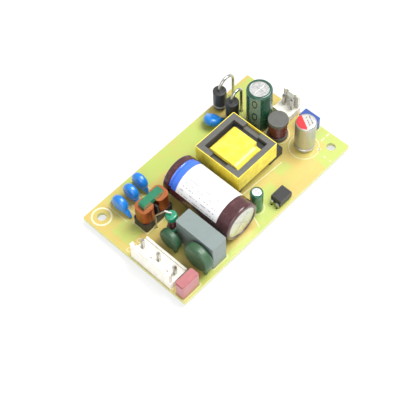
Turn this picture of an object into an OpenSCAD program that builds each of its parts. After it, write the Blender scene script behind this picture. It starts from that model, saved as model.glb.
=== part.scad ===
// Open frame AC to DC power supply on one circuit board.
// x runs from the mains end (-) to the output end (+), y across the board, z up.
// The origin is under the middle of the board, at the tips of the trimmed leads.

/* [Board] */
// Thickness of the board
board_t = 1.6; // [1:0.1:3.2]
// How far the trimmed leads stand out under the board
lead_out = 2.0; // [1.8:0.1:4]
// Diameter of the two mounting holes
mount_hole_d = 3.5; // [2.5:0.1:4.5]
// Distance from a mounting hole to the two nearest board edges
mount_inset = 4.9; // [3.6:0.1:6]
// Radius of the board's corners
board_corner_r = 0.4; // [0.2:0.1:1.2]
// Extra diameter of a lead's hole over the lead
hole_play = 0.3; // [0.1:0.05:0.6]
// Width of the solder ring round a lead
solder_ring = 0.65; // [0.4:0.05:0.9]
// Height of a solder joint
solder_h = 1.1; // [0.6:0.1:1.6]

/* [Mains header] */
// Number of pin places along the mains header
ac_places = 5; // [3:2:7]
// Spacing of the pin places on both headers
header_pitch = 3.96; // [3.5:0.01:4.2]
// Depth of the mains header across its row
ac_depth = 8.5; // [8:0.1:10]
// Distance of the mains pin row from the outer face
ac_row = 4.5; // [4:0.1:5]
// Height of the headers' base
header_base_h = 3.3; // [2.5:0.1:4]
// Height of the mains header's latch wall
ac_wall_h = 9.4; // [8:0.1:11]
// Side of a square header pin
header_pin = 1.14; // [0.9:0.01:1.3]
// Height of the mains pins above the board
ac_pin_h = 8.8; // [7:0.1:10]

/* [Output header] */
// Number of pin places along the output header
dc_places = 2; // [2:1:3]
// Depth of the output header across its row
dc_depth = 7.4; // [7:0.1:9]
// Distance of the output pin row from the outer face
dc_row = 2.9; // [2.6:0.1:3.4]
// Height of the output header's latch wall
dc_wall_h = 10; // [8:0.1:11]
// Height of the output pins above the board
dc_pin_h = 9.1; // [7:0.1:10]

/* [Fuse] */
// Length of the fuse case
fuse_l = 8.4; // [7.5:0.1:9]
// Width of the fuse case
fuse_w = 4; // [3.5:0.1:5]
// Height of the fuse case
fuse_h = 8; // [6:0.1:10]

/* [Discs] */
// Diameter of the varistor
varistor_d = 12; // [9:0.1:14]
// Thickness of the varistor
varistor_t = 4; // [3:0.1:5]
// Diameter of the inrush thermistor
thermistor_d = 9; // [7:0.1:11]
// Thickness of the inrush thermistor
thermistor_t = 3.2; // [2.6:0.1:4]
// Diameter of a ceramic safety capacitor
ycap_d = 7; // [6:0.1:7.6]
// Thickness of a ceramic safety capacitor
ycap_t = 3.4; // [2.6:0.1:4]
// Lead spacing of the ceramic safety capacitors
ycap_pitch = 10; // [8:0.1:11]

/* [Box capacitors] */
// Width of the mains film capacitor
xcap_w = 7; // [6:0.1:8.5]
// Length of the mains film capacitor
xcap_l = 18; // [16.5:0.1:19]
// Height of the mains film capacitor
xcap_h = 13; // [11:0.1:15]
// Width of the output film capacitor
film_w = 4.4; // [3.5:0.1:4.8]
// Length of the output film capacitor
film_l = 7.2; // [6.5:0.1:8]
// Height of the output film capacitor
film_h = 6; // [5:0.1:9]

/* [Axial inductor] */
// Diameter of the axial inductor's ends
axial_d = 4.4; // [3.8:0.1:5]
// Diameter of its waist
axial_waist_d = 3.1; // [2.4:0.1:3.5]
// Length of its body
axial_l = 11; // [9:0.1:12]

/* [Common mode choke] */
// Length of the square core
choke_core_l = 10; // [9.6:0.1:11]
// Height of the square core
choke_core_h = 11.8; // [10:0.1:14]
// Thickness of the core across the board
choke_core_w = 3; // [2.5:0.1:3.4]
// Width of each upright core leg
choke_leg = 2.6; // [2.2:0.1:2.8]
// Thickness of the core's top and bottom bars
choke_bar = 2; // [1.6:0.1:2.6]
// Width of the flat wire, set on edge
choke_wire_w = 1.7; // [1.4:0.05:1.8]
// Turns of flat wire on each leg
choke_turns = 13; // [8:1:14]
// Thickness of the flat wire
choke_wire_t = 0.4; // [0.3:0.05:0.45]

/* [Bulk capacitor] */
// Diameter over the sleeve
bulk_d = 16; // [14:0.1:18]
// Length over the sleeve
bulk_l = 32.2; // [28:0.1:35]
// Lead spacing
bulk_pitch = 7.5; // [5:0.1:8]

/* [Transformer] */
// Length of the closed core, along the board
core_l = 20.6; // [19:0.1:23]
// Width of the closed core, across the board
core_w = 21.2; // [20:0.1:23]
// Thickness of the core, upwards
core_h = 8; // [6.5:0.1:9]
// Width of the core's sides
core_rim = 2.3; // [2:0.1:2.8]
// Depth of the hollow in the middle of the core's ends
core_hollow = 1.3; // [0.5:0.1:2]
// Height of the core's underside above the board
core_lift = 4.2; // [3.8:0.1:5]
// Thickness of the yellow tape round the core
tape_t = 0.3; // [0.15:0.05:0.4]
// How far the winding stands above the core
coil_rise = 1.1; // [0.5:0.1:1.6]
// Number of pins in each row of the bobbin
bobbin_pins = 5; // [3:1:6]
// Spacing of the bobbin's pins
bobbin_pitch = 3.75; // [2.5:0.05:3.9]
// How far each pin rail reaches past the core
rail_reach = 4.6; // [4:0.1:5.5]

/* [Output rectifiers] */
// Diameter of a rectifier's body
diode_d = 5.3; // [4.8:0.1:5.6]
// Length of a rectifier's body
diode_l = 9.5; // [8.5:0.1:10.5]
// Diameter of a rectifier's lead
diode_wire = 1.2; // [0.9:0.05:1.3]

/* [Upright capacitors] */
// Diameter of the output electrolytic
outcap_d = 10; // [8:0.1:10.5]
// Height of the output electrolytic
outcap_h = 20; // [12:0.1:25]
// Diameter of the polymer capacitor
polycap_d = 8; // [6.3:0.1:8.5]
// Height of the polymer capacitor
polycap_h = 15; // [10:0.1:16]
// Diameter of the small electrolytic
smallcap_d = 5; // [4:0.1:6.3]
// Height of the small electrolytic
smallcap_h = 10.8; // [7:0.1:12]

/* [Output inductor] */
// Diameter of the drum's flanges
drum_d = 8; // [7:0.1:8.4]
// Height of the drum
drum_h = 10; // [8:0.1:12]
// Diameter over the winding
drum_coil_d = 7.1; // [5.5:0.1:7.2]
// Turns in the outer layer
drum_turns = 11; // [8:1:12]

/* [Optocoupler] */
// Width of the optocoupler between its lead rows
opto_w = 6.5; // [6:0.1:7]
// Length of the optocoupler
opto_l = 4.6; // [4.4:0.1:5]
// Height of the optocoupler's body
opto_h = 3.4; // [3:0.1:3.8]

/* [Hidden] */
$fn = 48;
slack = 0.02;
cut = 1;
board_bottom = lead_out;
board_top = lead_out + board_t;
edge_gap = 0.5;
header_end = 1.95;

// Along the board, each part is placed against the one before it.
ac_x0 = edge_gap;
ac_x1 = ac_x0 + ac_depth;
varistor_x = ac_x1 + 3.1 + varistor_t/2;
thermistor_x = ac_x1 + 2.5 + thermistor_t/2;
xcap_x = varistor_x + varistor_t/2 + 0.5 + xcap_w/2;
bulk_x = xcap_x + xcap_w/2 + 2.4 + bulk_d/2;
coil_half = choke_leg/2 + choke_wire_w;
choke_reach = choke_core_l/2 - choke_leg/2 + coil_half;
choke_x = bulk_x - bulk_d/2 - 1.3 - choke_reach;
core_x = bulk_x + bulk_d/2 + 3.1 + core_l/2;
rail_x1 = core_x + core_l/2 + rail_reach;
outcap_x = rail_x1 + 0.7 + outcap_d/2;
drum_x = rail_x1 + 1.7 + drum_d/2;
polycap_x = rail_x1 + 4.7 + polycap_d/2;
dc_x0 = max(outcap_x + outcap_d/2, drum_x + drum_d/2) + 1.5;
dc_x1 = dc_x0 + dc_depth;
board_l = dc_x1 + 0.1;
film_x = max(board_l - 0.8 - film_w/2, polycap_x + polycap_d/2 + 0.4 + film_w/2);

// Across the board, from the edge at the fuse.
fuse_y = 1.1 + fuse_w/2;
ac_y0 = fuse_y + fuse_w/2 + 2.2;
ac_len = (ac_places - 1)*header_pitch + 2*header_end;
dc_len = (dc_places - 1)*header_pitch + 2*header_end;
varistor_y = 0.4 + varistor_d/2;
thermistor_y = varistor_y + varistor_d/2 + 2.3 + thermistor_d/2;
xcap_y = 1.8 + xcap_l/2;
axial_y = max(xcap_y + xcap_l/2 + 1.2, thermistor_y + thermistor_d/2 - 2.7) + axial_d/2;
choke_w = choke_core_w + 2*choke_wire_w + 0.4;
choke_y = axial_y + axial_d/2 + 4.4 + choke_w/2;
ycap_y = choke_y + choke_w/2 + 2.2 + ycap_pitch/2;
bulk_y0 = 3.8;
smallcap_y = 5.2 + smallcap_d/2;
opto_y = 1 + opto_l/2;
core_y = smallcap_y + smallcap_d/2 + 5.6 + core_w/2;
polycap_y = 8.9 + polycap_d/2;
drum_y = polycap_y + polycap_d/2 + 2.9 + drum_d/2;
outcap_y = drum_y + drum_d/2 + 0.5 + outcap_d/2;
diode_y1 = outcap_y + outcap_d/2 + 0.95 + diode_d/2;
diode_y2 = diode_y1 + 1.9 + diode_d;
board_w = max(diode_y2 + diode_d/2 + 0.25, ycap_y + 1.6 + ycap_pitch/2 + 1.6,
              bulk_y0 + bulk_l + 8);
film_y = 13.9 + film_l/2;
dc_y0 = film_y + film_l/2 + 3.2;
diode_x1 = rail_x1 - 0.1;
diode_x2 = diode_x1 + 0.7;
smallcap_x = bulk_x + bulk_d/2 + 1.4 + smallcap_d/2;
opto_x = smallcap_x + smallcap_d/2 + 2.95 + opto_w/2;
axial_x = xcap_x - 2.1;

// Ceramic discs: [x, y, turn, lean, lead spacing]
YCAPS = [
  [choke_x - 6.2, ycap_y, 0, 0, ycap_pitch],
  [choke_x, ycap_y + 0.6, 0, 0, ycap_pitch/2],
  [choke_x + 5.5, ycap_y + 1.6, 0, 0, ycap_pitch*0.75],
  [rail_x1 - 3.6, board_w - 4.9, 20, -58, ycap_pitch*0.75]
];
ycap_lift = 1.2;

// Where leads go through the board: [x, y, lead diameter]
wire = 0.7;
ac_pins = [for (i = [0:2:ac_places - 1]) [ac_x0 + ac_row, ac_y0 + header_end + i*header_pitch]];
dc_pins = [for (i = [0:dc_places - 1]) [dc_x1 - dc_row, dc_y0 + header_end + i*header_pitch]];
function pair(x, y, px, py, d) = [[x - px/2, y - py/2, d], [x + px/2, y + py/2, d]];
function ycap_foot(c, side) =
  [c[0] - side*c[4]/2*sin(c[2]), c[1] + side*c[4]/2*cos(c[2]), wire];
fuse_x = ac_x0 + 0.1 + fuse_l/2;
fuse_feet = pair(fuse_x, fuse_y, 5.08, 0, wire);
varistor_feet = pair(varistor_x, varistor_y, 1.4, 7.5, 0.8);
thermistor_feet = pair(thermistor_x, thermistor_y, 1.2, 5, 0.8);
xcap_feet = pair(xcap_x, xcap_y, 0, 15, 0.8);
axial_foot = [axial_x - 2.6, axial_y + 5.8, wire];
axial_feet = [[axial_x, axial_y, wire], axial_foot];
choke_pin_d = 0.8;
choke_feet = [for (sx = [-1, 1], sy = [-1, 1])
  [choke_x + sx*(choke_reach - 1.4), choke_y + sy*(choke_w/2 - 1), choke_pin_d]];
ycap_feet = [for (c = YCAPS, s = [-1, 1]) ycap_foot(c, s)];
bulk_drop = 2.6;
bulk_feet = pair(bulk_x, bulk_y0 + bulk_l + bulk_drop, bulk_pitch, 0, 0.8);
pin_inset = 1.3;
bobbin_pin_d = 0.7;
bobbin_feet = [for (s = [-1, 1], i = [0:bobbin_pins - 1])
  [core_x + s*(core_l/2 + rail_reach - pin_inset),
   core_y + (i - (bobbin_pins - 1)/2)*bobbin_pitch, bobbin_pin_d]];
diode_pitch_1 = 5.08;
diode_pitch_2 = 7.5;
diode_feet = concat(pair(diode_x1 + diode_pitch_1/2, diode_y1, diode_pitch_1, 0, diode_wire),
                    pair(diode_x2 + diode_pitch_2/2, diode_y2, diode_pitch_2, 0, diode_wire));
outcap_feet = pair(outcap_x, outcap_y, 5, 0, 0.6);
polycap_feet = pair(polycap_x, polycap_y, 3.5, 0, 0.6);
smallcap_feet = pair(smallcap_x, smallcap_y, 0, 2, 0.5);
drum_feet = pair(drum_x, drum_y, 0, 5, 0.6);
film_feet = pair(film_x, film_y, 0, 5, 0.6);
opto_row = 7.62;
opto_step = 2.54;
opto_feet = [for (sx = [-1, 1], sy = [-1, 1])
  [opto_x + sx*opto_row/2, opto_y + sy*opto_step/2, 0.6]];
round_feet = concat(fuse_feet, varistor_feet, thermistor_feet, xcap_feet, axial_feet, choke_feet,
  ycap_feet, bulk_feet, bobbin_feet, diode_feet, outcap_feet, polycap_feet, smallcap_feet,
  drum_feet, film_feet);

// ---- placing and shared shapes ----

// Puts a part at a place measured from the board's corner, on the board's top face.
module on_board(x, y, z = 0) {
  translate([x - board_l/2, y - board_w/2, board_top + z]) children();
}

// Puts a surface part under the board, upside down.
module under_board(x, y) {
  translate([x - board_l/2, y - board_w/2, board_bottom]) mirror([0, 0, 1]) children();
}

module round_rect(l, w, r) {
  square([l - 2*r, w], center = true);
  square([l, w - 2*r], center = true);
  for (sx = [-1, 1], sy = [-1, 1])
    translate([sx*(l/2 - r), sy*(w/2 - r)]) circle(r);
}

module round_block(l, w, h, r) {
  linear_extrude(h) round_rect(l, w, r);
}

// Half section of a drum with rounded rims, for turning about the axis.
module drum_section(r, h, e) {
  square([r - e, h]);
  translate([0, e]) square([r, h - 2*e]);
  for (z = [e, h - e]) translate([r - e, z]) circle(e);
}

module round_drum(r, h, e) {
  rotate_extrude() drum_section(r, h, e);
}

// A tapered round bar between two points.
module strut(p, q, r1, r2) {
  d = q - p;
  len = norm(d);
  translate(p) rotate([0, acos(d[2]/len), atan2(d[1], d[0])]) cylinder(h = len, r1 = r1, r2 = r2);
}

// Straight leads from a height over the board down to the trimmed tips.
module straight_leads(feet, z = 0) {
  for (f = feet)
    on_board(f[0], f[1], -board_top) cylinder(h = board_top + z, d = f[2]);
}

// Flat wire ring that stands round a core leg.
module flat_turn(l, w, wide, t) {
  linear_extrude(t) difference() {
    round_rect(l + 2*wide, w + 2*wide, wide + 0.6);
    square([l, w], center = true);
  }
}

// Half section of a can, t inside the sleeve's outline, with the rolled groove that grips the seal.
module can_section(d, h, t, groove_z, groove) {
  difference() {
    translate([0, t]) drum_section(d/2 - t, h - 2*t, 0.9 - t);
    if (groove > 0) translate([d/2 - t + 0.3, groove_z]) circle(groove + 0.3);
  }
}

// Printed sleeve that follows the can and curls over both of its rims.
module sleeve_tube(d, h, t, lip, groove_z = 0, groove = 0) {
  rotate_extrude() difference() {
    can_section(d, h, 0, groove_z, groove);
    can_section(d, h, t, groove_z, groove);
    translate([0, -cut]) square([d/2 - lip, h + 2*cut]);
  }
}

// Can that fills the sleeve, with a recess for the rubber seal at its foot.
module can_body(d, h, t, seal_h, groove_z = 0, groove = 0) {
  rotate_extrude() difference() {
    can_section(d, h, t, groove_z, groove);
    if (seal_h > 0) square([d/2 - 2*t - 0.5, seal_h]);
  }
}

// ---- board ----

module circuit_board() {
  color("darkkhaki") difference() {
    on_board(board_l/2, board_w/2, -board_t) round_block(board_l, board_w, board_t, board_corner_r);
    for (f = round_feet)
      on_board(f[0], f[1], -board_t - cut) cylinder(h = board_t + 2*cut, d = f[2] + hole_play);
    for (f = opto_feet)
      on_board(f[0], f[1], -board_t - cut) cylinder(h = board_t + 2*cut, d = f[2] + hole_play);
    for (p = concat(ac_pins, dc_pins))
      on_board(p[0], p[1], -board_t - cut)
        cylinder(h = board_t + 2*cut, d = header_pin*sqrt(2) + hole_play);
    on_board(mount_inset, board_w - mount_inset, -board_t - cut)
      cylinder(h = board_t + 2*cut, d = mount_hole_d);
    on_board(board_l - mount_inset, mount_inset, -board_t - cut)
      cylinder(h = board_t + 2*cut, d = mount_hole_d);
  }
}

module joint(x, y, d) {
  on_board(x, y, -board_t - solder_h)
    cylinder(h = solder_h, r1 = d/2 + 0.15, r2 = d/2 + solder_ring);
}

module solder_joints() {
  color("silver") {
    for (f = round_feet) difference() {
      joint(f[0], f[1], f[2]);
      on_board(f[0], f[1], -board_top) cylinder(h = board_top, d = f[2]);
    }
    for (p = concat(ac_pins, dc_pins)) difference() {
      joint(p[0], p[1], header_pin*sqrt(2));
      on_board(p[0], p[1], -board_top) translate([-header_pin/2, -header_pin/2, 0])
        cube([header_pin, header_pin, board_top]);
    }
    for (sx = [-1, 1], sy = [-1, 1]) difference() {
      joint(opto_x + sx*opto_row/2, opto_y + sy*opto_step/2, 0.6);
      opto_leg(sx, sy);
    }
  }
}

// ---- headers ----

// Locking header: its row runs along y, with the latch wall on the low x side.
module lock_header(len, depth, row, wall_h, pins) {
  wall_t = 1.4;
  foot = 0.6;
  ramp = 0.7;
  ramp_h = 2.4;
  difference() {
    union() {
      cube([depth, len, header_base_h]);
      translate([0, 0.3, 0]) cube([wall_t, len - 0.6, wall_h]);
      // latch ramp along the top of the wall
      translate([0, len - 1.6, 0]) rotate([90, 0, 0]) linear_extrude(len - 3.2)
        polygon([[wall_t - slack, wall_h - ramp_h], [wall_t + ramp, wall_h - ramp_h + 0.5],
                 [wall_t, wall_h - 0.3], [wall_t - slack, wall_h - 0.3]]);
      // low kerb along the open side
      translate([depth - 0.9, 0, 0]) cube([0.9, len, header_base_h + 0.5]);
    }
    // channels under the base, between the standing feet
    translate([foot + 0.8, -cut, -cut]) cube([1, len + 2*cut, foot + cut]);
    translate([depth - foot - 1.8, -cut, -cut]) cube([1, len + 2*cut, foot + cut]);
    // slot beside each pin in the wall, for the latch to bend
    for (p = pins) translate([wall_t - 0.5, p - 0.6, header_base_h + 0.8])
      cube([0.5 + ramp + cut, 1.2, wall_h]);
    for (p = pins) translate([row - header_pin/2, p - header_pin/2, -cut])
      cube([header_pin, header_pin, header_base_h + 2*cut]);
  }
}

module square_pins(pins, h) {
  for (p = pins)
    on_board(p[0], p[1], -board_top) {
      translate([-header_pin/2, -header_pin/2, 0.5])
        cube([header_pin, header_pin, board_top + h - 1]);
      // pointed ends
      for (z = [0.5, board_top + h - 0.5]) mirror([0, 0, z < 1 ? 1 : 0])
        translate([0, 0, z < 1 ? -0.5 : z]) rotate(45)
          cylinder(h = 0.5, d1 = header_pin*sqrt(2), d2 = header_pin*0.9, $fn = 4);
    }
}

module ac_header_housing() {
  color("whitesmoke") on_board(ac_x0, ac_y0)
    lock_header(ac_len, ac_depth, ac_row, ac_wall_h, [for (p = ac_pins) p[1] - ac_y0]);
}

module ac_header_pins() {
  color("gainsboro") square_pins(ac_pins, ac_pin_h);
}

module dc_header_housing() {
  color("whitesmoke") on_board(dc_x1, dc_y0) mirror([1, 0, 0])
    lock_header(dc_len, dc_depth, dc_row, dc_wall_h, [for (p = dc_pins) p[1] - dc_y0]);
}

module dc_header_pins() {
  color("gainsboro") square_pins(dc_pins, dc_pin_h);
}

// ---- mains side ----

fuse_lift = 0.4;

module fuse_case() {
  color("rosybrown") on_board(fuse_x, fuse_y) {
    translate([0, 0, fuse_lift]) round_block(fuse_l, fuse_w, fuse_h - fuse_lift - 0.5, 0.7);
    translate([0, 0, fuse_h - 0.5]) round_block(fuse_l - 0.6, fuse_w - 0.6, 0.5, 0.5);
    // standing feet at the ends
    for (s = [-1, 1]) translate([s*(fuse_l/2 - 0.8), 0, fuse_lift/2])
      cube([0.8, fuse_w - 1.6, fuse_lift], center = true);
  }
}

module fuse_leads() {
  color("silver") straight_leads(fuse_feet, fuse_lift);
}

// Coated disc that stands on its rim, axis along x, with the coating run down its two leads.
module coated_disc(d, t, lift, feet_y, feet_x, leg_r, e) {
  zc = lift + d/2;
  difference() {
    union() {
      translate([-t/2, 0, zc]) rotate([0, 90, 0]) round_drum(d/2, t, e);
      for (s = [-1, 1])
        strut([0, s*min(feet_y/2, d*0.3), zc - d*0.28], [s*feet_x/2, s*feet_y/2, lift*0.4], t*0.42, leg_r);
    }
    translate([-d, -d - feet_y, -d]) cube([2*d, 2*(d + feet_y), d + lift*0.4]);
  }
}

disc_lift = 1.0;

module varistor_body() {
  color("darkseagreen") on_board(varistor_x, varistor_y)
    coated_disc(varistor_d, varistor_t, disc_lift - 0.4, 7.5, 1.4, 0.75, 1.3);
}

module varistor_leads() {
  color("silver") straight_leads(varistor_feet, (disc_lift - 0.4)*0.4);
}

module thermistor_body() {
  color("darkslategray") on_board(thermistor_x, thermistor_y)
    coated_disc(thermistor_d, thermistor_t, disc_lift, 5, 1.2, 0.7, 1.1);
}

module thermistor_leads() {
  color("silver") straight_leads(thermistor_feet, disc_lift*0.4);
}

// Moulded box with its open end down: two shallow steps stand on the board.
module box_case(w, l, h, r) {
  lift = 0.4;
  difference() {
    round_block(w, l, h, r);
    translate([0, 0, lift/2 - cut/2]) cube([w + cut, l - 3.2, lift + cut], center = true);
    translate([0, 0, lift/2 - cut/2]) cube([w - 1.6, l + cut, lift + cut], center = true);
  }
}

module x_capacitor_case() {
  color("slategray") on_board(xcap_x, xcap_y) box_case(xcap_w, xcap_l, xcap_h, 0.5);
}

module x_capacitor_leads() {
  color("silver") straight_leads(xcap_feet, 0.4);
}

axial_lift = 1;

module axial_inductor_body() {
  r = axial_d/2;
  waist = axial_waist_d/2;
  head = 3;
  color("mediumseagreen") on_board(axial_x, axial_y, axial_lift) rotate_extrude() {
    drum_section(r, head, 0.8);
    translate([0, axial_l - head]) drum_section(r, head, 0.8);
    translate([0, head - 1]) square([waist, axial_l - 2*head + 2]);
  }
}

module axial_inductor_leads() {
  top = axial_lift + axial_l;
  bend = [axial_x - 1.0, axial_y + 2.0, top + 1.2];
  knee = [axial_foot[0], axial_foot[1], 8];
  color("silver") {
    straight_leads([axial_feet[0]], axial_lift);
    straight_leads([axial_foot], knee[2]);
    on_board(0, 0) {
      strut([axial_x, axial_y, top], [axial_x, axial_y, top + 0.9], wire/2, wire/2);
      strut([axial_x, axial_y, top + 0.9], bend, wire/2, wire/2);
      strut(bend, knee, wire/2, wire/2);
      for (p = [[axial_x, axial_y, top + 0.9], bend, knee]) translate(p) sphere(wire/2 + 0.03);
    }
  }
}

// ---- common mode choke ----

choke_foot = 1.6;
choke_tray_h = choke_foot + choke_bar + 0.4;
choke_leg_x = choke_core_l/2 - choke_leg/2;
coil_bottom = choke_tray_h;
coil_top = choke_foot + choke_core_h - choke_bar - 0.1;

module choke_core() {
  color("seagreen") on_board(choke_x, choke_y, choke_foot + choke_core_h/2) rotate([90, 0, 0])
    translate([0, 0, -choke_core_w/2]) linear_extrude(choke_core_w) difference() {
      round_rect(choke_core_l, choke_core_h, 0.7);
      square([choke_core_l - 2*choke_leg, choke_core_h - 2*choke_bar], center = true);
    }
}

module choke_coil(side) {
  pitch = (coil_top - coil_bottom - choke_wire_t)/(choke_turns - 1);
  inner_l = choke_leg + 0.1;
  inner_w = choke_core_w + 0.1;
  color("peru") on_board(choke_x + side*choke_leg_x, choke_y, coil_bottom) {
    for (i = [0:choke_turns - 1])
      translate([0, 0, i*pitch]) flat_turn(inner_l, inner_w, choke_wire_w - 0.05, choke_wire_t);
    // varnish between the turns
    linear_extrude(coil_top - coil_bottom) difference() {
      round_rect(inner_l + 2*choke_wire_w - 0.5, inner_w + 2*choke_wire_w - 0.5, choke_wire_w + 0.35);
      square([inner_l, inner_w], center = true);
    }
  }
}

module choke_base() {
  divider_h = coil_top - 1.6;
  color("dimgray") on_board(choke_x, choke_y) difference() {
    union() {
      round_block(2*choke_reach + 0.2, choke_w, choke_tray_h, 0.8);
      translate([0, 0, divider_h/2]) cube([0.8, choke_w - 0.4, divider_h], center = true);
    }
    // pocket that holds the core's lower bar
    translate([0, 0, choke_foot + choke_bar/2 + cut/2])
      cube([choke_core_l, choke_core_w, choke_bar + cut], center = true);
    translate([0, 0, choke_foot + choke_core_h/2]) rotate([90, 0, 0])
      translate([0, 0, -choke_core_w/2]) linear_extrude(choke_core_w) difference() {
        square([choke_core_l, choke_core_h], center = true);
        square([choke_core_l - 2*choke_leg, choke_core_h - 2*choke_bar], center = true);
      }
    // relief under the tray
    translate([0, 0, -cut]) linear_extrude(cut + 0.5) round_rect(2*choke_reach - 6, choke_w + 2, 0.5);
  }
}

module choke_pins() {
  color("silver") straight_leads(choke_feet, 0);
}

// ---- ceramic safety capacitors ----

module y_capacitor(i) {
  c = YCAPS[i];
  color("dodgerblue") on_board(c[0], c[1]) rotate(c[2]) rotate([0, c[3], 0])
    coated_disc(ycap_d, ycap_t, ycap_lift, c[4], 0, 0.55, ycap_t*0.44);
}

module y_capacitor_leads() {
  joint_r = wire/2 + 0.03;
  color("silver") for (c = YCAPS)
    on_board(c[0], c[1]) rotate(c[2]) for (s = [-1, 1]) translate([0, s*c[4]/2, 0]) {
      translate([0, 0, -board_top]) cylinder(h = board_top, d = wire);
      if (c[3] != 0) sphere(joint_r);
      rotate([0, c[3], 0]) cylinder(h = ycap_lift*0.4, d = wire);
    }
}

// ---- bulk capacitor, lying along y ----

can_wall = 0.3;
bulk_z = bulk_d/2 + 0.1;
seal_h = 2.4;

// Turns a shape that stands on its foot so that its foot is at the high y end.
module bulk_place() {
  on_board(bulk_x, bulk_y0 + bulk_l, bulk_z) rotate([90, 0, 0]) children();
}

groove_z = 3.4;
groove = 0.6;

module bulk_capacitor_can() {
  color("silver") bulk_place() difference() {
    can_body(bulk_d, bulk_l, can_wall, seal_h, groove_z, groove);
    // safety vent: two shallow scores across the end
    for (a = [45, 135]) translate([0, 0, bulk_l - can_wall]) rotate(a)
      cube([bulk_d*0.6, 0.3, 0.3], center = true);
  }
}

module bulk_capacitor_sleeve() {
  color("saddlebrown") bulk_place()
    sleeve_tube(bulk_d, bulk_l, can_wall, 1.4, groove_z, groove);
}

module bulk_capacitor_seal() {
  color("dimgray") bulk_place() translate([0, 0, can_wall])
    cylinder(h = seal_h - can_wall, d = bulk_d - 4*can_wall - 1);
}

module bulk_capacitor_leads() {
  d = 0.8;
  bend_r = 1.2;
  z0 = board_top + bulk_z;
  color("silver") for (s = [-1, 1])
    translate([bulk_x + s*bulk_pitch/2 - board_l/2, bulk_y0 + bulk_l + bulk_drop - board_w/2, 0]) {
      cylinder(h = z0 - bend_r, d = d);
      translate([0, -bend_r, z0 - bend_r]) rotate([90, 0, 90]) rotate_extrude(angle = 90)
        translate([bend_r, 0]) circle(d = d);
      translate([0, -bend_r, z0]) rotate([90, 0, 0])
        cylinder(h = bulk_drop - bend_r + can_wall, d = d);
    }
}

// ---- transformer ----

core_z = core_lift;
core_top = core_z + core_h;
centre_w = core_w*0.42;
centre_h = core_h*0.5;
centre_z = core_z + 2.2;
bobbin_wall = 0.8;
coil_x0 = -core_l/2 + core_rim + 0.2;
coil_x1 = core_l/2 - core_rim - 2.7;
coil_y0 = -core_w/2 + core_rim + 0.1;
coil_y1 = core_w/2 - core_rim - 1.7;
coil_z0 = 1.4;

module transformer_core_half(side) {
  color("darkslategray") on_board(core_x, core_y) mirror([side < 0 ? 1 : 0, 0, 0]) difference() {
    translate([0, -core_w/2, core_z]) cube([core_l/2, core_w, core_h]);
    for (s = [-1, 1]) {
      y_in = core_w/2 - core_rim;
      translate([-cut, s > 0 ? centre_w/2 : -y_in, core_z - cut])
        cube([core_l/2 - core_rim + cut, y_in - centre_w/2, core_h + 2*cut]);
    }
    translate([-cut, -centre_w/2 - cut, centre_z + centre_h])
      cube([core_l/2 - core_rim + cut, centre_w + 2*cut, core_h]);
    translate([-cut, -centre_w/2 - cut, core_z - cut])
      cube([core_l/2 - core_rim + cut, centre_w + 2*cut, centre_z - core_z + cut]);
    // hollow in the middle of the end
    translate([core_l/2 - core_rim - cut, -core_w*0.17, core_top - core_hollow])
      cube([core_rim + 2*cut, core_w*0.34, core_hollow + cut]);
  }
}

module transformer_bobbin() {
  rail_w = core_w - 1.4;
  rail_h = core_lift;
  rail_l = rail_reach + core_rim + 0.1;
  tube_w = centre_w + 0.2 + 2*bobbin_wall;
  tube_h = centre_h + 0.2 + 2*bobbin_wall;
  zc = centre_z + centre_h/2;
  color("dimgray") on_board(core_x, core_y) difference() {
    union() {
      for (s = [-1, 1]) {
        // pin rail that the core stands on
        translate([s*(core_l/2 - core_rim - 0.1 + rail_l/2), 0, rail_h/2])
          cube([rail_l, rail_w, rail_h], center = true);
        // end wall of the winding space
        x0 = s > 0 ? coil_x1 : coil_x0 - 0.2 + slack;
        x1 = s > 0 ? core_l/2 - core_rim - slack : coil_x0;
        translate([x0, coil_y0, 0])
          cube([x1 - x0, coil_y1 - coil_y0, core_top - (s > 0 ? 1.6 : 0.8)]);
      }
      // tube round the centre leg
      translate([coil_x0 - slack, -tube_w/2, zc - tube_h/2])
        cube([coil_x1 - coil_x0 + 2*slack, tube_w, tube_h]);
    }
    // bore of the tube
    translate([-core_l/2, -centre_w/2 - 0.1, zc - centre_h/2 - 0.1])
      cube([core_l, centre_w + 0.2, centre_h + 0.2]);
    // slots in the rails between the pins, for the winding's ends
    for (s = [-1, 1], i = [0:bobbin_pins - 2])
      translate([s*(core_l/2 + rail_reach), (i + 1 - bobbin_pins/2)*bobbin_pitch, rail_h])
        cube([3, 0.9, 2.4], center = true);
  }
}

module transformer_winding() {
  l = coil_x1 - coil_x0;
  w = coil_y1 - coil_y0;
  top = core_top + coil_rise;
  tube_w = centre_w + 0.2 + 2*bobbin_wall;
  tube_h = centre_h + 0.2 + 2*bobbin_wall;
  zc = centre_z + centre_h/2;
  color("khaki") on_board(core_x + (coil_x0 + coil_x1)/2, core_y + (coil_y0 + coil_y1)/2) difference() {
    translate([-l/2, 0, (top + coil_z0)/2]) rotate([90, 0, 90])
      linear_extrude(l) round_rect(w, top - coil_z0, 2.4);
    translate([-l/2 - cut, -tube_w/2 - (coil_y0 + coil_y1)/2, zc - tube_h/2])
      cube([l + 2*cut, tube_w, tube_h]);
    // notch where the start of the winding leaves
    translate([l/2 - 2, -w/2 - cut, top - 2.6]) cube([cut + 2, 2.8 + cut, 3]);
  }
}

module transformer_tape() {
  z0 = core_z - 0.1;
  color("gold") on_board(core_x, core_y, z0) linear_extrude(core_top - z0) difference() {
    round_rect(core_l + 2*tape_t, core_w + 2*tape_t, 0.5);
    square([core_l, core_w], center = true);
  }
}

module transformer_pins() {
  color("silver") straight_leads(bobbin_feet, 0);
}

// ---- output side ----

diode_lift = 1;

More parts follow.
